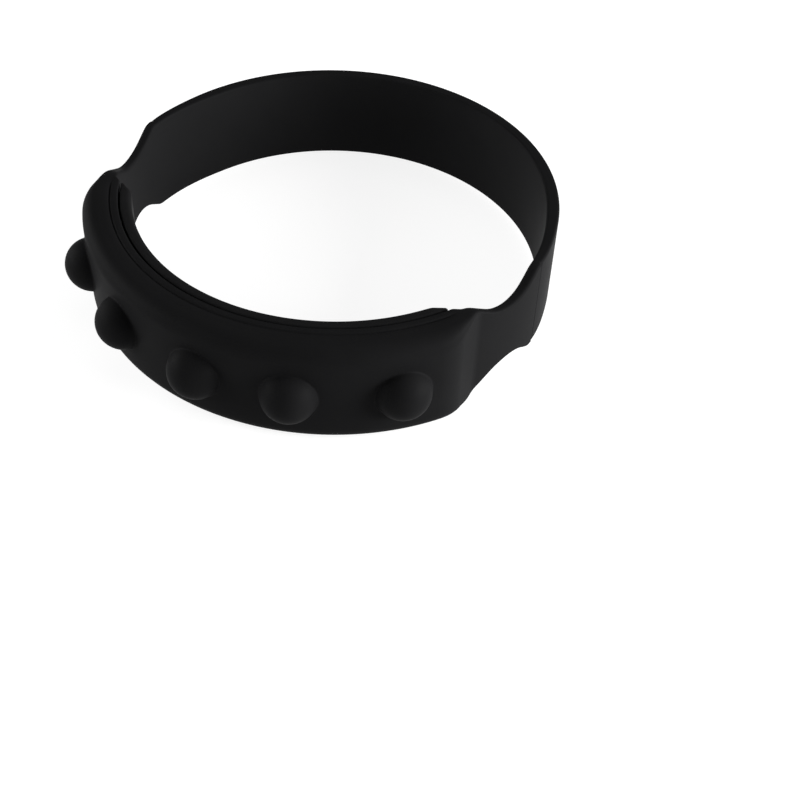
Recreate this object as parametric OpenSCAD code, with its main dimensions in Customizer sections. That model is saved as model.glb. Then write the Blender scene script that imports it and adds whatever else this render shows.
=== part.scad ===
// Silicone wristband: a moulded loop that lies flat, with its axis along Z.
// The housing with its row of domes faces -Y, the plain strap goes round the back at +Y.
// The origin is on the floor, under the middle of the loop's outer size.

/* [Strap] */
// Outer radius of the strap
strap_r = 35; // [34.5:0.1:36.5]
// Thickness of the strap's wall
wall = 2; // [1.6:0.1:2.4]
// Height of the strap
strap_h = 15.7; // [14.5:0.1:16.4]
// Rounding along the strap's edges
strap_round = 0.6; // [0.3:0.1:0.7]

/* [Necks] */
// Height of the loop where the necks are narrowest
neck_h = 10.4; // [8.5:0.1:12]
// Thickness of the necks' wall
neck_t = 1.6; // [1.3:0.1:1.8]
// How far the necks stand out past the strap's outer radius
neck_out = 0.4; // [0.3:0.1:0.6]
// Angle from the back where the necks start
neck_start = 87.5; // [85:0.5:89]
// Radius of the hollow curve that makes each neck
waist_r = 8; // [7:0.5:9]
// How far in front of the loop's axis the necks are narrowest
waist_front = 7.5; // [7:0.1:8.5]
// Slope of the edges that rise from the necks
flank_slope = 32; // [28:1:36]
// Rounding of the strap's corners beside the necks
ear_r = 2.5; // [1.5:0.1:3.5]

/* [Housing] */
// Outer radius of the housing
housing_r = 38.7; // [38.5:0.1:39.5]
// Height of the housing
housing_h = 16.9; // [16.8:0.1:18]
// Rounding of the housing's outer edges
housing_round = 2.8; // [2:0.1:2.9]
// Angle from the front over which the housing keeps its full radius
housing_half = 55; // [53:0.5:57]
// Radius, seen from above, of the housing's rounded ends
end_r = 6; // [5.7:0.1:8]
// Thickness of the housing's outer wall
housing_wall = 2; // [1.6:0.1:2.4]
// Height of the pocket inside the housing
pocket_h = 12; // [11:0.5:13]
// Angle from the front over which the pocket is open
pocket_half = 53; // [50:0.5:54]
// Radius of the fine step on the housing's flat faces
step_r = 34.4; // [34.2:0.1:34.8]
// Depth and width of that step
step = 0.2; // [0.1:0.05:0.3]

/* [Domes] */
// Angle of each dome from the front, along a row that isn't quite even
dome_angles = [-45.1, -23.1, 0, 21.3, 45.5];
// Radius of a dome
dome_r = 4.2; // [3.6:0.1:4.6]
// How far a dome's centre is under the housing's outer face
dome_sink = 0.6; // [0.3:0.1:1]
// Thickness of a dome's wall
dome_wall = 1.3; // [1:0.1:1.6]

/* [Inner plate] */
// Inner radius of the plate
plate_r = 31.1; // [31:0.05:31.4]
// Thickness of the plate
plate_t = 1.8; // [1.6:0.1:2]
// Height of the plate
plate_h = 16.7; // [16:0.1:16.8]
// Angle from the front to each end of the plate
plate_half = 59.9; // [59:0.1:61.5]
// Angle by which the plate's end faces lean, from square across to facing the wrist
plate_slant = 51; // [30:1:55]
// Thickness left at the plate's ends
plate_tip = 0.3; // [0.3:0.1:0.8]
// Rounding of the plate's edges
plate_round = 0.5; // [0.3:0.1:0.6]
// Gap between the plate and the housing
gap = 0.25; // [0.2:0.05:0.3]

/* [Hidden] */
$fn = 96;
eps = 0.01;
far = 100;
// Angle by which the strap runs into each neck, so that they are one piece
neck_overlap = 0.5;
// Reach of the blocks that cut the plate's ends, more than half of its height
end_cut = 12;
// How far above the strap's top its rounded corners would reach, so that they cross it
corner_rise = 0.05;
// Radius from which the front is built up, well inside the plate's seat
core_r = 29;
// How far the housing's round ends are set in under its outer face
end_inset = 0.03;
// How far the flanks' feet are set in from the necks' hollow curve, so that they cross it
flank_inset = 0.06;

silicone = [0.035, 0.035, 0.037];
plate_black = [0.045, 0.045, 0.047];

inner_r = strap_r - wall;
neck_r = strap_r + neck_out;
bore_r = neck_r - neck_t;
end_centre_r = housing_r - end_r;
recess_r = plate_r + plate_t + gap;
dome_at = housing_r - dome_sink;
front_y = -(dome_at + dome_r);
centre_y = (strap_r + front_y) / 2;
mid_z = housing_h / 2;

// Angle from the front where each neck starts, with the housing on its other side
neck_half = 180 - neck_start;
// Gap between the plate's end and the band, as an angle at the plate's back
gap_angle = gap / recess_r * 180 / PI;

// A rectangle in the plane of a wall's section, from r0 to r1 and centred in height, with rounded corners
module rounded_section(r0, r1, h, inner_round, outer_round) {
    translate([r0 + inner_round, -h / 2]) square([r1 - r0 - inner_round - outer_round, h]);
    translate([r0, -h / 2 + inner_round]) square([inner_round + eps, h - 2 * inner_round]);
    translate([r1 - outer_round - eps, -h / 2 + outer_round]) square([outer_round + eps, h - 2 * outer_round]);
    for (side = [-1, 1]) {
        translate([r0 + inner_round, side * (h / 2 - inner_round)]) circle(inner_round);
        translate([r1 - outer_round, side * (h / 2 - outer_round)]) circle(outer_round);
    }
}

// A wall's section swept round the axis, to the same angle on each side of the front
module front_sweep(half_angle) {
    rotate([0, 0, -90 - half_angle]) rotate_extrude(angle = 2 * half_angle) children();
}

// Places its children at an angle from the front, turned to face outwards along +X
module at_front_angle(angle, radius) {
    rotate([0, 0, -90 + angle]) translate([radius, 0, 0]) children();
}

// The plain strap round the back, which runs a little way into each neck
module strap_arc() {
    reach = neck_start + neck_overlap;
    rotate([0, 0, 90 - reach]) rotate_extrude(angle = 2 * reach)
        rounded_section(inner_r, strap_r, strap_h, strap_round, strap_round);
}

// The front of the loop as far as the strap, still without its bore: the necks' arc, the
// housing's full arc and a round end at each side of it
module front_form() {
    front_sweep(neck_half)
        translate([core_r, -strap_h / 2]) square([neck_r - core_r, strap_h]);
    front_sweep(housing_half)
        translate([core_r, 0]) outer_section(housing_r - core_r, housing_h, housing_round);
    for (side = [-1, 1])
        at_front_angle(side * housing_half, end_centre_r)
            rotate_extrude()
                outer_section(end_r - end_inset, housing_h - 2 * end_inset, housing_round);
}

// A section that reaches outwards to a width and is centred in height, with its outer corners rounded
module outer_section(width, h, outer_round) {
    translate([0, -h / 2]) square([width - outer_round, h]);
    translate([0, -h / 2 + outer_round]) square([width, h - 2 * outer_round]);
    for (side = [-1, 1])
        translate([width - outer_round, side * (h / 2 - outer_round)]) circle(outer_round);
}

// A point just above the hollow curve of a neck, at an angle from its lowest point, seen from the side
function on_waist(angle) = [
    -waist_front + (waist_r - flank_inset) * sin(angle),
    neck_h / 2 + waist_r - (waist_r - flank_inset) * cos(angle)
];

// What is cut away above a neck, seen from the side: the hollow curve, two sloping flanks and the
// rounded corner of the strap
module bite_outline() {
    ear_foot = on_waist(flank_slope);
    housing_foot = on_waist(-flank_slope);
    corner_z = strap_h / 2 + corner_rise;
    corner_y = ear_foot[0] + (corner_z - ear_foot[1]) / tan(flank_slope);
    tangent = ear_r * tan(flank_slope / 2);
    ear_centre = [corner_y + tangent, corner_z - ear_r];
    on_flank = [
        corner_y - tangent * cos(flank_slope),
        corner_z - tangent * sin(flank_slope)
    ];
    rise = housing_h - housing_foot[1];
    difference() {
        union() {
            translate([-waist_front, neck_h / 2 + waist_r]) circle(waist_r);
            polygon([
                on_waist(0),
                ear_foot,
                on_flank,
                ear_centre,
                [ear_centre[0], housing_h],
                [housing_foot[0] - rise / tan(flank_slope), housing_h],
                housing_foot
            ]);
        }
        translate(ear_centre) circle(ear_r);
    }
}

// The two bites, above and below, that leave both necks
module bites() {
    for (flip = [0, 1])
        mirror([0, 0, flip])
            rotate([90, 0, 90]) linear_extrude(far, center = true) bite_outline();
}

// The bore of the front: the seat of the inner plate, and beyond its ends the necks' inner faces
module front_bore() {
    cylinder(r = recess_r, h = far, center = true);
    for (flip = [0, 1])
        mirror([flip, 0, 0])
            rotate([0, 0, -90 + plate_half + gap_angle])
                rotate_extrude(angle = neck_half - plate_half)
                    translate([core_r, -housing_h]) square([bore_r - core_r, 2 * housing_h]);
}

// The pocket inside the housing, behind the inner plate
module pocket() {
    front_sweep(pocket_half)
        translate([core_r, -pocket_h / 2]) square([housing_r - housing_wall - core_r, pocket_h]);
}

// The fine step that runs along the housing's flat faces
module face_steps() {
    for (flip = [0, 1])
        mirror([0, 0, flip])
            front_sweep(housing_half)
                translate([step_r - step / 2, housing_h / 2 - step]) square([step, 2 * step]);
}

// What is cut off the plate's ends, so that they thin out towards the housing
module slanted_ends() {
    for (flip = [0, 1])
        mirror([flip, 0, 0])
            at_front_angle(plate_half, plate_r + plate_t - plate_tip)
                rotate([0, 0, plate_slant])
                    translate([-end_cut, 0, -end_cut]) cube([2 * end_cut, end_cut, 2 * end_cut]);
}

module each_dome() {
    for (angle = dome_angles)
        at_front_angle(angle, dome_at) children();
}

module band() {
    color(silicone)
        translate([0, -centre_y, mid_z])
            difference() {
                union() {
                    difference() {
                        front_form();
                        front_bore();
                        bites();
                    }
                    strap_arc();
                    each_dome() sphere(dome_r);
                }
                pocket();
                face_steps();
                each_dome() sphere(dome_r - dome_wall);
            }
}

module inner_plate() {
    color(plate_black)
        translate([0, -centre_y, mid_z])
            difference() {
                front_sweep(plate_half)
                    rounded_section(plate_r, plate_r + plate_t, plate_h, plate_round, plate_round);
                slanted_ends();
            }
}

band();
inner_plate();
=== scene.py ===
"""Silicone wristband with a row of press domes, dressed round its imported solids."""

import logging
import math
from collections.abc import Callable, Iterator, Sequence
from dataclasses import dataclass, field
from typing import Union

import bmesh
import bpy
from bmesh.types import BMesh, BMVert
from mathutils import Matrix, Vector


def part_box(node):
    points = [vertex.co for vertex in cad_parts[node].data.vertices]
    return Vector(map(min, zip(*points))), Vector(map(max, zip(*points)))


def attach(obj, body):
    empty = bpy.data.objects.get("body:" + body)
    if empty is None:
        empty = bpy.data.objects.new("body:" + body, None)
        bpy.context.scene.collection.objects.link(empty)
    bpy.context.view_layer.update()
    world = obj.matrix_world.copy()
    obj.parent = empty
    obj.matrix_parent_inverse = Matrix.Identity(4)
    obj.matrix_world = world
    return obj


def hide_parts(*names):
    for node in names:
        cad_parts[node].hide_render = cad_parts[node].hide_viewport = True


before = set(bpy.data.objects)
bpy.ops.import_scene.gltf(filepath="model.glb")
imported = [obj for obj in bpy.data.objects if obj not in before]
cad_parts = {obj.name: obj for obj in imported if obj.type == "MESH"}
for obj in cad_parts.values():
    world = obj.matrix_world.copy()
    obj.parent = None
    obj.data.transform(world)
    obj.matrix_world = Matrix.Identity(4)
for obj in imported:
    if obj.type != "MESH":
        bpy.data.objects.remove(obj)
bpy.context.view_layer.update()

log = logging.getLogger("wristband")

BODY = "root"

# A millimetre in the frame's metres
MM = 0.001
# Vertices that are nearer than this, in metres, are one vertex
WELD = 1e-7
# The mean of a noise texture
NOISE_MEAN = 0.5
WHITE = (1.0, 1.0, 1.0, 1.0)

Number = Union[float, "Value"]


# Small helpers for numbers


def smooth_step(low: float, high: float, value: float) -> float:
    """Eases from 0 to 1 as a value goes from low to high.

    Args:
        low: Where the step starts.
        high: Where the step ends.
        value: The value to place on the step.

    Returns:
        The share of the step that is done, from 0 to 1.
    """
    share = min(1.0, max(0.0, (value - low) / (high - low)))
    return share * share * (3 - 2 * share)


def mix(first: float, second: float, share: float) -> float:
    """Returns the value that lies a share of the way from first to second."""
    return first + (second - first) * share


# Small helpers for shaders


@dataclass(frozen=True)
class Value:
    """A shader value: one output socket, with the arithmetic that is used on it.

    Attributes:
        graph: The graph that the socket belongs to.
        socket: The output socket that carries the value.
    """

    graph: "Graph"
    socket: bpy.types.NodeSocket

    def _math(self, operation: str, other: Number) -> "Value":
        """Adds a Math node for this value and another, and returns its result."""
        return self.graph.add("ShaderNodeMath", {"operation": operation}, {0: self, 1: other})

    def __add__(self, other: Number) -> "Value":
        """Returns self + other."""
        return self._math("ADD", other)

    def __sub__(self, other: Number) -> "Value":
        """Returns self - other."""
        return self._math("SUBTRACT", other)

    def __mul__(self, other: Number) -> "Value":
        """Returns self * other."""
        return self._math("MULTIPLY", other)


class Graph:
    """The node tree of one material, filled through one method."""

    def __init__(self, name: str) -> None:
        """Makes an empty material.

        Args:
            name: The material's name.
        """
        self.material = bpy.data.materials.new(name)
        self.material.use_nodes = True
        self.tree = self.material.node_tree
        self.tree.nodes.clear()

    def add(
        self,
        kind: str,
        settings: dict[str, object] | None = None,
        inputs: dict[int | str, object] | None = None,
        output: int | str = 0,
    ) -> Value:
        """Adds one node, sets it up and connects it.

        Args:
            kind: The node's type.
            settings: Properties of the node, set before its sockets.
            inputs: A value or a link for each socket that is used.
            output: The output that the result stands for.

        Returns:
            The chosen output.
        """
        node = self.tree.nodes.new(kind)
        for name, setting in (settings or {}).items():
            setattr(node, name, setting)
        for key, given in (inputs or {}).items():
            if isinstance(given, Value):
                self.tree.links.new(given.socket, node.inputs[key])
            else:
                node.inputs[key].default_value = given
        return Value(self, node.outputs[output])

    def finish(self, surface: Value) -> bpy.types.Material:
        """Connects a surface to the material's output.

        Args:
            surface: The shader that makes the surface.

        Returns:
            The finished material.
        """
        end = self.tree.nodes.new("ShaderNodeOutputMaterial")
        self.tree.links.new(surface.socket, end.inputs["Surface"])
        return self.material


@dataclass(frozen=True)
class MouldedFinish:
    """A matte moulded surface: a fine grain with specks, and soft mottling.

    Attributes:
        name: The material's name.
        slot: The record's material slot that it stands for. It is not used.
        dark: Its base colour where it is darkest.
        light: Its base colour where it is lightest.
        roughness: Its mean roughness.
        roughness_swing: How far the mottling moves the roughness.
        specular: How strongly it mirrors light.
        grain: Size of the grain in millimetres.
        grain_depth: Depth of the grain in millimetres.
        mottle: Size of the mottling in millimetres.
        speck_size: Size of the specks, as a multiple of the grain's.
        mottle_share: The mottling's share of the colour. The grain has the rest.
        grain_share: The grain's share of the relief. The specks have the rest.
    """

    name: str
    slot: str
    dark: tuple[float, float, float, float]
    light: tuple[float, float, float, float]
    roughness: float
    roughness_swing: float
    specular: float
    grain: float
    grain_depth: float
    mottle: float
    speck_size: float = 2.2
    mottle_share: float = 0.7
    grain_share: float = 0.7

    def material(self) -> bpy.types.Material:
        """Makes the material with its nodes.

        Returns:
            The material.
        """
        graph = Graph(self.name)
        place = graph.add("ShaderNodeTexCoord", output="Object")

        def noise(size: float, detail: float, rough: float) -> Value:
            """Returns noise with features of a size in millimetres."""
            return graph.add(
                "ShaderNodeTexNoise",
                {"noise_dimensions": "3D"},
                {
                    "Vector": place,
                    "Scale": 1 / (size * MM),
                    "Detail": detail,
                    "Roughness": rough,
                },
            )

        clouds = noise(self.mottle, detail=3.0, rough=0.55)
        grain = noise(self.grain, detail=2.0, rough=0.6)
        specks = graph.add(
            "ShaderNodeTexVoronoi",
            {"feature": "F1"},
            {"Vector": place, "Scale": 1 / (self.speck_size * self.grain * MM)},
        )
        lightness = clouds * self.mottle_share + grain * (1 - self.mottle_share)
        colour = graph.add(
            "ShaderNodeMix",
            {"data_type": "RGBA"},
            {0: lightness, 6: self.dark, 7: self.light},
            output=2,
        )
        swing = (clouds - NOISE_MEAN) * (2 * self.roughness_swing)
        height = grain * self.grain_share + specks * (1 - self.grain_share)
        bump = graph.add(
            "ShaderNodeBump",
            inputs={
                "Strength": 1.0,
                "Distance": self.grain_depth * MM,
                "Height": height,
            },
        )
        surface = graph.add(
            "ShaderNodeBsdfPrincipled",
            inputs={
                "Base Color": colour,
                "Roughness": swing + self.roughness,
                "Specular IOR Level": self.specular,
                "Normal": bump,
            },
        )
        return graph.finish(surface)


SILICONE = MouldedFinish(
    name="black_silicone",
    slot="silicone",
    dark=(0.0072, 0.0072, 0.0075, 1.0),
    light=(0.0105, 0.0105, 0.0109, 1.0),
    roughness=0.5,
    roughness_swing=0.05,
    specular=0.008,
    grain=0.16,
    grain_depth=0.006,
    mottle=7.0,
)

PLATE_BLACK = MouldedFinish(
    name="grained_plate_black",
    slot="plate",
    dark=(0.0072, 0.0072, 0.0074, 1.0),
    light=(0.0122, 0.0122, 0.0126, 1.0),
    roughness=0.5,
    roughness_swing=0.06,
    specular=0.006,
    grain=0.3,
    grain_depth=0.02,
    mottle=4.0,
)


@dataclass(frozen=True)
class LoopAxis:
    """The upright axis that the whole loop is built round.

    Attributes:
        y: Where the axis is, from front to back, in metres.
        z: The loop's middle height in metres.
    """

    y: float
    z: float

    def place(self, angle: float, radius: float, height: float) -> Vector:
        """Works out a place round the axis.

        Args:
            angle: The angle from the front, in radians, positive towards +X.
            radius: The distance from the axis in millimetres.
            height: The height above the loop's middle in millimetres.

        Returns:
            The place in metres.
        """
        across = radius * MM * math.sin(angle)
        along = -radius * MM * math.cos(angle)
        return Vector((across, self.y + along, self.z + height * MM))


def wall_sheet(
    axis: LoopAxis,
    angles: Sequence[float],
    section: Callable[[int], Sequence[tuple[float, float]]],
) -> BMesh:
    """Wraps a sheet of faces round a wall's section, station by station, and welds its edges.

    The wall is the same above and below the loop's middle height.

    Args:
        axis: The axis that the wall stands round.
        angles: Each station's angle from the front, in radians.
        section: Gives, for a station's number, the radius and height of each point of the
            section's upper half, from the outer face's middle to the inner face's middle.

    Returns:
        The wall, open at its two ends unless they meet.
    """
    halves = [section(number) for number in range(len(angles))]
    half_ring = len(halves[0]) - 1
    stations = len(angles) - 1
    mesh = bmesh.new()
    bmesh.ops.create_grid(mesh, x_segments=stations, y_segments=2 * half_ring, size=1)
    for vertex in mesh.verts:
        station = round((vertex.co.x + 1) / 2 * stations)
        number = round((vertex.co.y + 1) * half_ring)
        below = number > half_ring
        radius, height = halves[station][2 * half_ring - number if below else number]
        vertex.co = axis.place(angles[station], radius, -height if below else height)
    bmesh.ops.remove_doubles(mesh, verts=mesh.verts[:], dist=WELD)
    return mesh


def quarter_turn(rows: int) -> Iterator[tuple[float, float]]:
    """Follows a rounded edge from its start, up to but without its end.

    Args:
        rows: The rows of faces over the edge.

    Yields:
        How far the edge has gone in and up at each row, as shares of its radius.
    """
    for row in range(rows):
        turn = math.pi / 2 * row / rows
        yield 1 - math.cos(turn), math.sin(turn)


def close_and_check(mesh: BMesh, name: str) -> None:
    """Merges doubles, turns the faces outwards and warns of any edge that isn't closed.

    Args:
        mesh: The mesh, which is mended in place.
        name: What the warning calls it.
    """
    bmesh.ops.remove_doubles(mesh, verts=mesh.verts[:], dist=WELD)
    bmesh.ops.dissolve_degenerate(mesh, edges=mesh.edges[:], dist=WELD)
    bmesh.ops.recalc_face_normals(mesh, faces=mesh.faces[:])
    loose = sum(1 for edge in mesh.edges if not edge.is_manifold)
    if loose:
        log.warning("%s has %d open edges", name, loose)
    if mesh.calc_volume(signed=True) < 0:
        bmesh.ops.reverse_faces(mesh, faces=mesh.faces[:])


def piece_from(mesh: BMesh, name: str, node: str, finish: MouldedFinish) -> bpy.types.Object:
    """Turns a mesh into a finished piece that stands for a CAD node.

    Args:
        mesh: The finished mesh, in metres and in its place.
        name: The piece's name.
        node: The CAD node that it replaces.
        finish: The finish that it wears.

    Returns:
        The piece.
    """
    data = bpy.data.meshes.new(name)
    for face in mesh.faces:
        face.smooth = True
    mesh.to_mesh(data)
    mesh.free()
    piece = bpy.data.objects.new(name, data)
    bpy.context.scene.collection.objects.link(piece)
    data.materials.append(finish.material())
    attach(piece, BODY)
    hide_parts(node)
    return piece


@dataclass
class Domes:
    """The row of press domes on the housing.

    Attributes:
        at: Each dome's angle from the front, in degrees.
        radius: Radius of a dome's ball.
        sink: How far the ball's centre is under the housing's face.
        fillet: Radius of the hollow where a dome meets the face.
        hollow: Radius of the hollow inside a dome.
        cap_rings: Rings of faces over the ball.
        fillet_rings: Rings of faces over the fillet.
        blend_rings: Rings of faces from the fillet to the square cut in the face.
    """

    at: tuple[float, ...] = (-45.1, -23.1, 0.0, 21.3, 45.5)
    radius: float = 4.2
    sink: float = 0.6
    fillet: float = 0.3
    hollow: float = 2.9
    cap_rings: int = 18
    fillet_rings: int = 5
    blend_rings: int = 4

    def angles(self) -> Iterator[float]:
        """Yields each dome's angle from the front, in radians."""
        yield from map(math.radians, self.at)


@dataclass
class Band:
    """The moulded silicone loop: strap, necks, housing and domes in one piece.

    Sizes are in millimetres, and angles are in degrees from the front.

    Attributes:
        axis: The axis that the loop stands round.
        strap_r: Outer radius of the strap.
        wall: Thickness of the strap's wall.
        strap_h: Height of the strap.
        strap_round: Rounding of the strap's edges.
        neck_h: Height of the loop where the necks are narrowest.
        neck_t: Thickness of the necks' wall.
        neck_out: How far the necks stand out past the strap's outer radius.
        neck_end: Angle of the crease where a neck meets the strap.
        neck_round: Rounding of the necks' edges.
        strap_ease: Angle at which the outer face has eased to the strap's radius.
        bore_lead: How far before the crease the inner face starts to ease.
        bore_ease: Angle at which the inner face has eased to the strap's radius.
        round_ease: How far on each side of the crease the edges' rounding eases.
        crease_step: How far the strap starts in from the neck's outer face.
        crease_depth: Depth of the crease.
        crease_half: Half of the angle that the crease takes up.
        waist_r: Radius of the hollow curve that makes each neck, seen from the side.
        waist_front: How far in front of the axis the necks are narrowest.
        flank_slope: Slope of the edges that rise from the necks.
        ear_r: Rounding of the strap's corners beside the necks, seen from the side.
        shoulder_r: Rounding of the housing's corners beside the necks, seen from the side.
        housing_r: Outer radius of the housing.
        housing_h: Height of the housing.
        housing_round: Rounding of the housing's outer edges.
        housing_half: Angle at which the housing's round ends start.
        end_r: Radius of the housing's round ends, seen from above.
        end_facing: Angle from the front that the housing's end faces look towards.
        end_round_share: The most of the wall's thickness that the outer rounding takes up.
        end_fillet: Radius of the hollow where an end face runs into the neck.
        end_ease: Angle over which the edges' rounding changes to the necks'.
        recess_r: Radius of the inner plate's seat.
        recess_half: Angle at which the seat ends.
        recess_ease: Angle over which the seat eases into the neck's inner face.
        recess_round: Rounding of the seat's edges.
        groove_r: Radius of the fine groove along the housing's flat faces.
        groove_w: Width of the groove.
        groove_d: Depth of the groove.
        groove_half: Angle at which the groove starts to fade.
        groove_ease: Angle over which the groove fades.
        groove_lip: Width of the soft lip on each side of the groove.
        groove_lip_share: How deep the lip's inner edge lies, as a share of the groove's depth.
        groove_flat: Half of the width of the groove's floor.
        pocket_r: Radius to which the pocket behind the plate reaches.
        pocket_half: Angle at which the pocket ends.
        pocket_h: Height of the pocket.
        domes: The row of domes.
        bore_near: How far from the seat's radius the middle of a face of the seat may lie.
        face_near: How far from the housing's radius the middle of a face of it may lie.
        face_rows: Rows of faces over half of the outer face.
        edge_rows: Rows of faces over the outer edge's rounding.
        rim_rows: Rows of faces over the inner edge's rounding.
        bore_rows: Rows of faces over half of the inner face.
        patch_rows: Rows of faces over half of the square that a dome stands in.
        dome_step: Angle between two stations at the domes.
        end_step: About the angle between two stations at the housing's ends and the necks.
        end_reach: Angle as far as which the stations stay that close.
        strap_step: About the angle between two stations round the strap.
    """

    axis: LoopAxis
    strap_r: float = 35.0
    wall: float = 2.0
    strap_h: float = 15.7
    strap_round: float = 0.4
    neck_h: float = 10.4
    neck_t: float = 1.6
    neck_out: float = 0.4
    neck_end: float = 90.5
    neck_round: float = 0.5
    strap_ease: float = 106.0
    bore_lead: float = 4.0
    bore_ease: float = 114.0
    round_ease: float = 3.0
    crease_step: float = 0.12
    crease_depth: float = 0.15
    crease_half: float = 0.5
    waist_r: float = 8.0
    waist_front: float = 7.5
    flank_slope: float = 32.0
    ear_r: float = 2.5
    shoulder_r: float = 4.0
    housing_r: float = 38.7
    housing_h: float = 16.9
    housing_round: float = 2.5
    housing_half: float = 53.5
    end_r: float = 7.0
    end_facing: float = 91.0
    end_round_share: float = 0.75
    end_fillet: float = 3.5
    end_ease: float = 12.5
    recess_r: float = 33.15
    recess_half: float = 60.33
    recess_ease: float = 2.5
    recess_round: float = 0.25
    groove_r: float = 34.4
    groove_w: float = 0.4
    groove_d: float = 0.2
    groove_half: float = 57.0
    groove_ease: float = 5.0
    groove_lip: float = 0.06
    groove_lip_share: float = 0.15
    groove_flat: float = 0.05
    pocket_r: float = 36.7
    pocket_half: float = 53.0
    pocket_h: float = 12.0
    domes: Domes = field(default_factory=Domes)
    bore_near: float = 0.02
    face_near: float = 0.05
    face_rows: int = 13
    edge_rows: int = 10
    rim_rows: int = 6
    bore_rows: int = 10
    patch_rows: int = 12
    dome_step: float = 0.66
    end_step: float = 0.26
    end_reach: float = 97.0
    strap_step: float = 0.75

    # Plan of the loop, seen from above

    @property
    def neck_r(self) -> float:
        """Outer radius of the necks."""
        return self.strap_r + self.neck_out

    @property
    def core_r(self) -> float:
        """Distance from the axis to the centre of each of the housing's round ends."""
        return self.housing_r - self.end_r

    def outer_radius(self, angle: float) -> float:
        """Works out the loop's outer radius.

        Args:
            angle: The angle from the front in degrees, without its sign.

        Returns:
            The radius in millimetres.
        """
        if angle <= self.housing_half:
            return self.housing_r
        facing = math.radians(self.end_facing)
        turn = facing - math.radians(self.housing_half)
        slant = self.core_r * math.cos(turn) + self.end_r
        hollow_r = self.neck_r + self.end_fillet
        lean = math.acos((slant + self.end_fillet) / hollow_r)
        arc_end = math.atan2(
            self.end_r * math.sin(turn), self.core_r + self.end_r * math.cos(turn)
        )
        hollow_start = math.atan2(
            self.end_fillet * math.sin(lean), hollow_r - self.end_fillet * math.cos(lean)
        )
        past = math.radians(angle - self.housing_half)
        before = facing - lean - math.radians(angle)
        if past < arc_end:
            return self.core_r * math.cos(past) + math.sqrt(
                self.end_r**2 - (self.core_r * math.sin(past)) ** 2
            )
        if before > hollow_start:
            return slant / math.cos(facing - math.radians(angle))
        if before > 0:
            return hollow_r * math.cos(before) - math.sqrt(
                self.end_fillet**2 - (hollow_r * math.sin(before)) ** 2
            )
        eased = smooth_step(self.neck_end, self.strap_ease, angle)
        strap = mix(self.neck_r - self.crease_step, self.strap_r, eased)
        crease = max(0.0, 1 - abs(angle - self.neck_end) / self.crease_half)
        return (self.neck_r if angle < self.neck_end else strap) - self.crease_depth * crease

    def inner_radius(self, angle: float) -> float:
        """Works out the loop's inner radius.

        Args:
            angle: The angle from the front in degrees, without its sign.

        Returns:
            The radius in millimetres.
        """
        neck_bore = self.neck_r - self.neck_t
        strap_bore = self.strap_r - self.wall
        to_neck = smooth_step(self.recess_half, self.recess_half + self.recess_ease, angle)
        to_strap = smooth_step(self.neck_end - self.bore_lead, self.bore_ease, angle)
        return mix(mix(self.recess_r, neck_bore, to_neck), strap_bore, to_strap)

    def edge_rounds(self, angle: float) -> tuple[float, float]:
        """Works out how far the wall's edges are rounded.

        Args:
            angle: The angle from the front in degrees, without its sign.

        Returns:
            The rounding of the outer edge and of the inner edge, in millimetres.
        """
        wall = self.outer_radius(angle) - self.inner_radius(angle)
        past_housing = smooth_step(self.housing_half, self.housing_half + self.end_ease, angle)
        past_recess = smooth_step(self.recess_half, self.recess_half + self.end_ease, angle)
        past_neck = smooth_step(
            self.neck_end - self.round_ease, self.neck_end + self.round_ease, angle
        )
        housing_round = min(self.housing_round, self.end_round_share * wall)
        outer = mix(housing_round, self.neck_round, past_housing)
        inner = mix(self.recess_round, self.neck_round, past_recess)
        return mix(outer, self.strap_round, past_neck), mix(inner, self.strap_round, past_neck)

    # Side view of the loop

    def half_height(self, front: float) -> float:
        """Works out the loop's half height from its side view.

        Args:
            front: How far in front of the axis, in millimetres.

        Returns:
            The half height in millimetres.
        """
        past = front - self.waist_front
        full, corner = (
            (self.housing_h / 2, self.shoulder_r)
            if past > 0
            else (self.strap_h / 2, self.ear_r)
        )
        past = abs(past)
        slope = math.radians(self.flank_slope)
        foot = self.waist_r * math.sin(slope)
        foot_z = self.neck_h / 2 + self.waist_r * (1 - math.cos(slope))
        top = foot + (full - foot_z) / math.tan(slope)
        tangent = corner * math.tan(slope / 2)
        if past < foot:
            return self.neck_h / 2 + self.waist_r - math.sqrt(self.waist_r**2 - past**2)
        if past < top - tangent * math.cos(slope):
            return foot_z + (past - foot) * math.tan(slope)
        if past < top + tangent:
            return full - corner + math.sqrt(corner**2 - (past - top - tangent) ** 2)
        return full

    @property
    def patch_step(self) -> float:
        """The angle between two stations at the domes, in radians."""
        return math.radians(self.dome_step)

    @property
    def face_row(self) -> float:
        """The height of one row of faces on the housing's outer face."""
        return (self.housing_h / 2 - self.edge_rounds(0)[0]) / self.face_rows

    # The wall's section

    def half_section(self, angle: float) -> list[tuple[float, float]]:
        """Works out the upper half of the wall's section.

        Args:
            angle: The angle from the front in degrees, without its sign.

        Returns:
            Radius and height of each point, from the middle of the outer face to the middle of
            the bore, in millimetres.
        """
        outer = self.outer_radius(angle)
        inner = self.inner_radius(angle)
        outer_round, inner_round = self.edge_rounds(angle)
        forward = math.cos(math.radians(angle))

        def top(radius: float) -> float:
            """Returns the half height at a radius."""
            return self.half_height(radius * forward)

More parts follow.
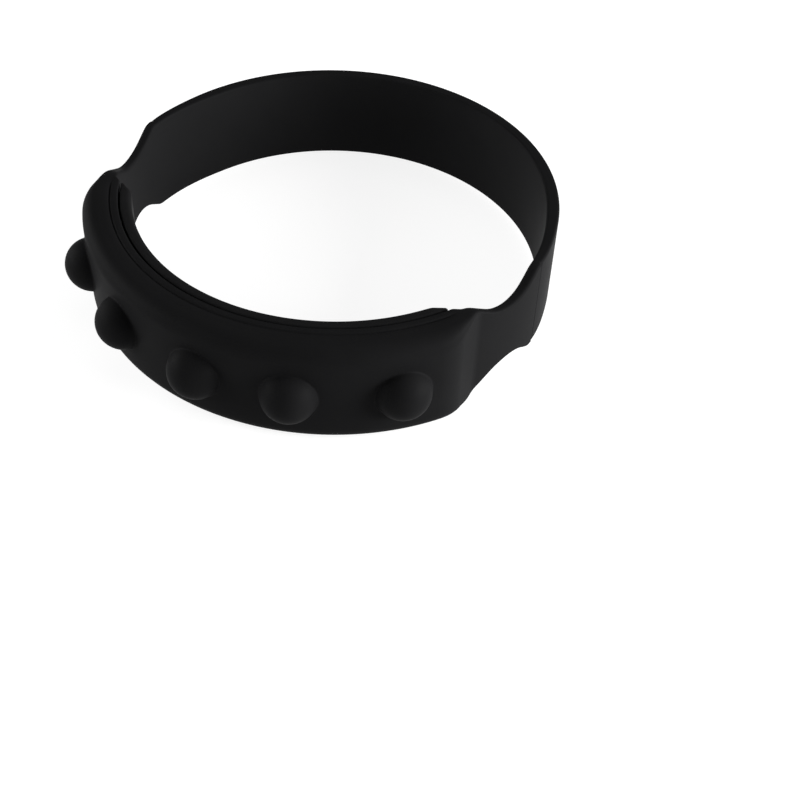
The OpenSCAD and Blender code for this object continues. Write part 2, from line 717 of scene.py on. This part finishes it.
        points = []
        for row in range(self.face_rows):
            height = (top(outer) - outer_round) * row / self.face_rows
            points.append((outer, height))
        for inwards, upwards in quarter_turn(self.edge_rows):
            radius = outer - outer_round * inwards
            points.append((radius, top(radius) - outer_round * (1 - upwards)))
        for radius, sink in self.top_points(angle, outer - outer_round, inner + inner_round):
            points.append((radius, top(radius) - sink))
        for downwards, inwards in quarter_turn(self.rim_rows):
            radius = inner + inner_round * (1 - inwards)
            points.append((radius, top(radius) - inner_round * downwards))
        for row in range(self.bore_rows + 1):
            height = (top(inner) - inner_round) * (1 - row / self.bore_rows)
            points.append((inner, height))
        return points

    def top_points(self, angle: float, start: float, end: float) -> list[tuple[float, float]]:
        """Works out the flat top of the section, with the fine groove on the housing.

        Args:
            angle: The angle from the front in degrees, without its sign.
            start: The radius where the outer edge's rounding ends.
            end: The radius where the inner edge's rounding starts.

        Returns:
            The radius of each point and how far it is sunk, in millimetres.
        """
        faded = smooth_step(self.groove_half, self.groove_half + self.groove_ease, angle)
        depth = self.groove_d * (1 - faded)
        wide = self.groove_w / 2
        housing_start = self.housing_r - self.housing_round
        housing_end = self.recess_r + self.recess_round
        stops = (
            (housing_start, 0.0),
            (mix(housing_start, self.groove_r + wide, 0.5), 0.0),
            (self.groove_r + wide + self.groove_lip, 0.0),
            (self.groove_r + wide, self.groove_lip_share),
            (self.groove_r + self.groove_flat, 1.0),
            (self.groove_r - self.groove_flat, 1.0),
            (self.groove_r - wide, self.groove_lip_share),
            (self.groove_r - wide - self.groove_lip, 0.0),
            (mix(self.groove_r - wide, housing_end, 0.5), 0.0),
        )
        points = []
        for radius, share in stops:
            along = (housing_start - radius) / (housing_start - housing_end)
            points.append((mix(start, end, along), depth * share))
        return points

    # The stations round the loop

    @property
    def station_angles(self) -> list[float]:
        """The angle of each station from the front, once round the loop from the back.

        The stations are even over each dome's square, and closer at the housing's ends.

        Returns:
            The angles in degrees, from -180 to 180.
        """
        half = self.patch_rows * self.dome_step
        stretches = [(-self.end_reach, self.strap_step)]
        wanted = self.end_step
        for dome in self.domes.at:
            stretches += [(dome - half, wanted), (dome + half, self.dome_step)]
            wanted = self.dome_step
        stretches += [(self.end_reach, self.end_step), (180.0, self.strap_step)]
        angles = [-180.0]
        for until, wanted in stretches:
            start = angles[-1]
            count = round((until - start) / wanted)
            angles += [mix(start, until, (number + 1) / count) for number in range(count)]
        return angles

    # The meshes

    def wall_mesh(self) -> BMesh:
        """Makes the loop's wall, closed all round, still without its pocket and domes."""
        angles = self.station_angles
        return wall_sheet(
            self.axis,
            [math.radians(angle) for angle in angles],
            lambda number: self.half_section(abs(angles[number])),
        )

    def polar(self, vertex: Vector) -> tuple[float, float, float]:
        """Works out where a place lies round the axis.

        Args:
            vertex: The place in metres.

        Returns:
            Its angle from the front in radians, and its radius and height in millimetres.
        """
        across = vertex.x / MM
        along = (self.axis.y - vertex.y) / MM
        height = (vertex.z - self.axis.z) / MM
        return math.atan2(across, along), math.hypot(across, along), height

    def cut_pocket(self, mesh: BMesh) -> None:
        """Pushes the pocket and the hollows of the domes outwards from the plate's seat.

        Args:
            mesh: The loop's wall, which is changed in place.
        """
        half = math.radians(self.pocket_half)
        faces = []
        for face in mesh.faces:
            angle, radius, height = self.polar(face.calc_center_median())
            in_bore = abs(radius - self.recess_r) < self.bore_near
            if in_bore and abs(angle) < half and abs(height) < self.pocket_h / 2:
                faces.append(face)
        made = bmesh.ops.extrude_face_region(mesh, geom=faces)
        moved = [item for item in made["geom"] if isinstance(item, BMVert)]
        bmesh.ops.delete(mesh, geom=faces, context="FACES")
        ball_at = self.housing_r - self.domes.sink
        for vertex in moved:
            angle, _, height = self.polar(vertex.co)
            radius = self.pocket_r
            for dome in self.domes.angles():
                across = ball_at * math.sin(angle - dome)
                out = self.domes.hollow**2 - height**2 - across**2
                if out > 0:
                    radius = max(radius, ball_at * math.cos(angle - dome) + math.sqrt(out))
            vertex.co = self.axis.place(angle, radius, height)

    @property
    def spokes(self) -> int:
        """The spokes of a dome's patch, one for each vertex round the edge of its square."""
        return 8 * self.patch_rows

    def dome_profile(self, drop: float) -> list[tuple[float, float]]:
        """Works out a dome's profile, from its top to the face round it.

        Args:
            drop: How far the face there lies below the face at the dome's middle.

        Returns:
            Each ring's distance from the dome's axis, and its height over the face's middle.
        """
        domes = self.domes
        reach = domes.radius + domes.fillet
        rise = domes.sink - drop + domes.fillet
        lean = math.asin(rise / reach)
        points = []
        for ring in range(domes.cap_rings):
            turn = mix(math.pi / 2, lean, ring / domes.cap_rings)
            height = domes.radius * math.sin(turn) - domes.sink
            points.append((domes.radius * math.cos(turn), height))
        for ring in range(domes.fillet_rings + 1):
            turn = mix(lean, math.pi / 2, ring / domes.fillet_rings)
            points.append(
                (
                    reach * math.cos(lean) - domes.fillet * math.cos(turn),
                    domes.fillet * (1 - math.sin(turn)) - drop,
                )
            )
        return points

    def dome_spoke(self, middle: float, spoke: int) -> list[Vector]:
        """Works out where the vertices along one spoke of a dome's patch lie.

        Args:
            middle: The dome's angle from the front, in radians.
            spoke: The spoke, from 0 towards +X and counted anticlockwise.

        Returns:
            The place of each vertex from the dome's top to the edge of the square, in metres.
        """
        domes = self.domes
        side = self.patch_rows
        turn = math.tau * spoke / self.spokes
        flat = domes.radius + domes.fillet
        sag = self.housing_r - math.sqrt(self.housing_r**2 - (flat * math.cos(turn)) ** 2)
        places = []
        angle = rise = 0.0
        for ring, (out, height) in enumerate(self.dome_profile(sag)):
            across = out * math.cos(turn)
            past_ball = max(0.0, (ring - domes.cap_rings) / domes.fillet_rings)
            real_sag = self.housing_r - math.sqrt(self.housing_r**2 - across**2)
            up = self.housing_r + height + (sag - real_sag) * past_ball
            angle = math.atan2(across, up)
            rise = out * math.sin(turn)
            places.append(self.axis.place(middle + angle, math.hypot(across, up), rise))
        edge = (spoke + side) // (2 * side) % 4
        along = (spoke + side) % (2 * side) - side
        edges = ((side, along), (-along, side), (-side, -along), (along, -side))
        across_steps, up_steps = edges[edge]
        for ring in range(domes.blend_rings):
            share = (ring + 1) / domes.blend_rings
            edge_angle = mix(angle, across_steps * self.patch_step, share)
            edge_rise = mix(rise, up_steps * self.face_row, share)
            places.append(self.axis.place(middle + edge_angle, self.housing_r, edge_rise))
        return places

    def dome_patch(self, middle: float) -> bpy.types.Mesh:
        """Spins a disc and shapes it into a dome with the face round it.

        Args:
            middle: The dome's angle from the front, in radians.

        Returns:
            The patch, which fills the square that is cut out of the face.
        """
        rings = self.domes.cap_rings + self.domes.fillet_rings + self.domes.blend_rings
        patch = bmesh.new()
        row = [patch.verts.new((ring, 0, 0)) for ring in range(rings + 1)]
        edges = [patch.edges.new(pair) for pair in zip(row, row[1:])]
        bmesh.ops.spin(
            patch,
            geom=[*row, *edges],
            cent=(0, 0, 0),
            axis=(0, 0, 1),
            angle=math.tau,
            steps=self.spokes,
            use_merge=True,
        )
        places = [self.dome_spoke(middle, spoke) for spoke in range(self.spokes)]
        for vertex in patch.verts:
            turn = math.atan2(vertex.co.y, vertex.co.x) / math.tau
            spoke = round(turn * self.spokes) % self.spokes
            vertex.co = places[spoke][round(math.hypot(vertex.co.x, vertex.co.y))]
        data = bpy.data.meshes.new("dome_patch")
        patch.to_mesh(data)
        patch.free()
        return data

    def add_domes(self, mesh: BMesh) -> None:
        """Cuts a square out of the face at each dome and fills it with the dome's patch.

        Args:
            mesh: The loop's wall, which is changed in place.
        """
        half_width = self.patch_step * self.patch_rows
        half_height = self.face_row * self.patch_rows
        cut = []
        for face in mesh.faces:
            angle, radius, height = self.polar(face.calc_center_median())
            on_face = abs(radius - self.housing_r) < self.face_near and abs(height) < half_height
            if on_face and any(abs(angle - dome) < half_width for dome in self.domes.angles()):
                cut.append(face)
        bmesh.ops.delete(mesh, geom=cut, context="FACES")
        for middle in self.domes.angles():
            patch = self.dome_patch(middle)
            mesh.from_mesh(patch)
            bpy.data.meshes.remove(patch)

    def build(self) -> bpy.types.Object:
        """Builds the band and dresses it.

        Returns:
            The finished piece.
        """
        mesh = self.wall_mesh()
        self.cut_pocket(mesh)
        self.add_domes(mesh)
        close_and_check(mesh, "silicone_band")
        return piece_from(mesh, "silicone_band", "band", SILICONE)


@dataclass
class InnerPlate:
    """The curved plate that closes the housing from the wrist side, with slanted ends.

    Sizes are in millimetres, and angles are in degrees from the front.

    Attributes:
        axis: The axis that the plate stands round.
        radius: Inner radius of the plate.
        thick: Thickness of the plate.
        height: Height of the plate.
        half: Angle to each end of the plate.
        slant: Angle by which the end faces lean, from square across to facing the wrist.
        slant_soft: How softly the inner face bends into the end faces.
        tip: Thickness left at the ends.
        inner_edge: Rounding of the edges on the wrist side.
        outer_edge: Rounding of the edges on the housing's side.
        corner_r: Rounding of the ends' corners.
        end_edge: How far both faces draw in at the very ends.
        edge_share: The most of the thickness that one rounding takes up.
        edge_rows: Rows of faces over each rounding.
        face_rows: Rows of faces over half of each face.
        side_rows: Rows of faces over the flat part of the edge.
        arc_steps: Steps along the arc, from one rounded end to the other.
        end_steps: Steps over each rounded end.
    """

    axis: LoopAxis
    radius: float = 31.1
    thick: float = 1.8
    height: float = 16.7
    half: float = 59.9
    slant: float = 51.0
    slant_soft: float = 0.3
    tip: float = 0.3
    inner_edge: float = 0.9
    outer_edge: float = 0.4
    corner_r: float = 0.3
    end_edge: float = 0.08
    edge_share: float = 0.45
    edge_rows: int = 7
    face_rows: int = 14
    side_rows: int = 3
    arc_steps: int = 220
    end_steps: int = 12

    def section(self, angle: float, drop: float, shrink: float) -> list[tuple[float, float]]:
        """Works out the upper half of the plate's section.

        Args:
            angle: The angle from the front in degrees, without its sign.
            drop: How far the plate's edge is below its full height there.
            shrink: How far both faces are drawn in there.

        Returns:
            Radius and height of each point, from the outer face's middle to the inner face's.
        """
        to_end = math.radians(self.half - angle) * (self.radius + self.thick / 2)
        sharp = self.thick - self.tip - to_end / math.tan(math.radians(self.slant))
        thinner = (sharp + math.hypot(sharp, self.slant_soft)) / 2
        outer = self.radius + self.thick - shrink
        inner = self.radius + thinner + shrink
        top = self.height / 2 - drop
        most = self.edge_share * (outer - inner)
        outer_round = min(self.outer_edge, most)
        inner_round = min(self.inner_edge, most)
        points = []
        for row in range(self.face_rows):
            points.append((outer, (top - outer_round) * row / self.face_rows))
        for inwards, upwards in quarter_turn(self.edge_rows):
            points.append((outer - outer_round * inwards, top - outer_round * (1 - upwards)))
        for row in range(self.side_rows):
            radius = mix(outer - outer_round, inner + inner_round, row / self.side_rows)
            points.append((radius, top))
        for downwards, inwards in quarter_turn(self.edge_rows):
            points.append((inner + inner_round * (1 - inwards), top - inner_round * downwards))
        for row in range(self.face_rows + 1):
            points.append((inner, (top - inner_round) * (1 - row / self.face_rows)))
        return points

    def stations(self) -> list[tuple[float, list[tuple[float, float]]]]:
        """Works out the plate's stations on one side of the front.

        Returns:
            Each station's angle from the front in degrees and the upper half of its section,
            from the front to the plate's rounded end.
        """
        corner = math.degrees(self.corner_r / self.radius)
        straight = self.half - corner
        half_steps = self.arc_steps // 2
        made = []
        for number in range(half_steps):
            angle = straight * number / half_steps
            made.append((angle, self.section(angle, 0.0, 0.0)))
        for number in range(self.end_steps + 1):
            turn = math.pi / 2 * number / self.end_steps
            gone = 1 - math.cos(turn)
            angle = straight + corner * math.sin(turn)
            section = self.section(angle, self.corner_r * gone, self.end_edge * gone)
            made.append((angle, section))
        return made

    def build(self) -> bpy.types.Object:
        """Builds the plate and dresses it.

        Returns:
            The finished piece.
        """
        side = self.stations()
        angles = [-angle for angle, _ in reversed(side[1:])] + [angle for angle, _ in side]
        mesh = wall_sheet(
            self.axis,
            [math.radians(angle) for angle in angles],
            lambda number: side[abs(number - len(side) + 1)][1],
        )
        ends = [edge for edge in mesh.edges if edge.is_boundary]
        bmesh.ops.edgeloop_fill(mesh, edges=ends)
        close_and_check(mesh, "inner_plate")
        return piece_from(mesh, "grained_inner_plate", "inner_plate", PLATE_BLACK)


@dataclass(frozen=True)
class Softbox:
    """A soft rectangular light.

    Attributes:
        name: The light's name.
        place: Where it hangs, in metres.
        size: Its width and height in metres.
        power: Its power in watts.
    """

    name: str
    place: tuple[float, float, float]
    size: tuple[float, float]
    power: float

    def add(self, target: Vector) -> None:
        """Adds the light to the scene.

        Args:
            target: The place that it is aimed at, in metres.
        """
        data = bpy.data.lights.new(self.name, "AREA")
        data.shape = "RECTANGLE"
        data.size, data.size_y = self.size
        data.energy = self.power
        light = bpy.data.objects.new(self.name, data)
        bpy.context.scene.collection.objects.link(light)
        aim = target - Vector(self.place)
        turn = aim.to_track_quat("-Z", "Y").to_matrix().to_4x4()
        light.matrix_world = Matrix.Translation(self.place) @ turn


@dataclass
class Studio:
    """The pale floor, the soft lights and the camera.

    Attributes:
        axis: The loop's axis, whose middle the camera is placed from.
        azimuth: How far round the camera stands, from the front towards +X, in degrees.
        elevation: How far the camera looks down, in degrees.
        roll: How far the camera is turned about its own view, in degrees.
        distance: How far off the loop's middle is along the camera's view, in millimetres.
        offset_x: How far right of the view's middle the loop's middle lies, in millimetres.
        offset_y: How far above the view's middle the loop's middle lies, in millimetres.
        lens: Focal length in millimetres.
        sensor: Width of the sensor in millimetres.
        clip: The nearest and the farthest distance that the camera sees, in metres.
        floor_half: Half of the floor's side in metres.
        floor_colour: The floor's base colour.
        floor_glow: How strongly the floor glows.
        surround: How strongly the even white surrounding shines.
        softboxes: The soft lights.
    """

    axis: LoopAxis
    azimuth: float = 26.82
    elevation: float = 44.82
    roll: float = 3.0
    distance: float = 213.07
    offset_x: float = -10.44
    offset_y: float = 27.26
    lens: float = 60.11
    sensor: float = 36.0
    clip: tuple[float, float] = (0.01, 10.0)
    floor_half: float = 1.5
    floor_colour: tuple[float, float, float, float] = (0.35, 0.35, 0.35, 1.0)
    floor_glow: float = 0.84
    surround: float = 0.08
    softboxes: tuple[Softbox, ...] = (
        Softbox("left_softbox", place=(-0.85, -0.3, 0.25), size=(0.9, 0.45), power=10.5),
        Softbox("right_softbox", place=(0.85, 0.3, 0.25), size=(0.8, 0.45), power=21.0),
        Softbox("top_softbox", place=(0.0, 0.1, 0.9), size=(0.8, 0.6), power=1.0),
    )

    def camera(self) -> None:
        """Adds the camera at the photograph's viewing angle."""
        azimuth, elevation, roll = map(math.radians, (self.azimuth, self.elevation, self.roll))
        back = Vector(
            (
                math.sin(azimuth) * math.cos(elevation),
                -math.cos(azimuth) * math.cos(elevation),
                math.sin(elevation),
            )
        )
        level = Vector((math.cos(azimuth), math.sin(azimuth), 0))
        upright = back.cross(level)
        right = level * math.cos(roll) + upright * math.sin(roll)
        up = upright * math.cos(roll) - level * math.sin(roll)
        centre = Vector((0, self.axis.y, self.axis.z))
        offset = right * -self.offset_x + up * -self.offset_y + back * self.distance
        data = bpy.data.cameras.new("camera")
        data.lens = self.lens
        data.sensor_width = self.sensor
        data.clip_start, data.clip_end = self.clip
        camera = bpy.data.objects.new("camera", data)
        bpy.context.scene.collection.objects.link(camera)
        turn = Matrix((right, up, back)).transposed().to_4x4()
        camera.matrix_world = Matrix.Translation(centre + offset * MM) @ turn
        bpy.context.scene.camera = camera

    def floor(self) -> None:
        """Adds the plain pale floor that the band lies on."""
        graph = Graph("pale_floor")
        surface = graph.add(
            "ShaderNodeBsdfPrincipled",
            inputs={
                "Base Color": self.floor_colour,
                "Roughness": 0.9,
                "Specular IOR Level": 0.1,
                "Emission Color": WHITE,
                "Emission Strength": self.floor_glow,
            },
        )
        data = bpy.data.meshes.new("floor")
        mesh = bmesh.new()
        bmesh.ops.create_grid(mesh, x_segments=1, y_segments=1, size=self.floor_half)
        mesh.to_mesh(data)
        mesh.free()
        data.materials.append(graph.finish(surface))
        floor = bpy.data.objects.new("floor", data)
        bpy.context.scene.collection.objects.link(floor)

    def lights(self) -> None:
        """Adds the softboxes, aimed at the band, and an even white surrounding."""
        for softbox in self.softboxes:
            softbox.add(Vector((0, 0, self.axis.z)))
        world = bpy.data.worlds.new("surrounding")
        world.use_nodes = True
        background = world.node_tree.nodes["Background"]
        background.inputs["Color"].default_value = WHITE
        background.inputs["Strength"].default_value = self.surround
        bpy.context.scene.world = world
        bpy.context.scene.view_settings.view_transform = "Standard"

    def build(self) -> None:
        """Adds the camera, the floor and the lights."""
        self.camera()
        self.floor()
        self.lights()


def main() -> None:
    """Builds every piece in order and reports it."""
    logging.basicConfig(level=logging.INFO, format="%(name)s: %(message)s")
    band_low, band_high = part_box("band")
    strap_r = Band.strap_r * MM
    axis = LoopAxis(y=band_high.y - strap_r, z=(band_low.z + band_high.z) / 2)
    steps: list[Callable[[], bpy.types.Object]] = [Band(axis).build, InnerPlate(axis).build]
    for step in steps:
        piece = step()
        log.info("%s: %d faces", piece.name, len(piece.data.polygons))
    Studio(axis).build()


if __name__ == "__main__":
    main()
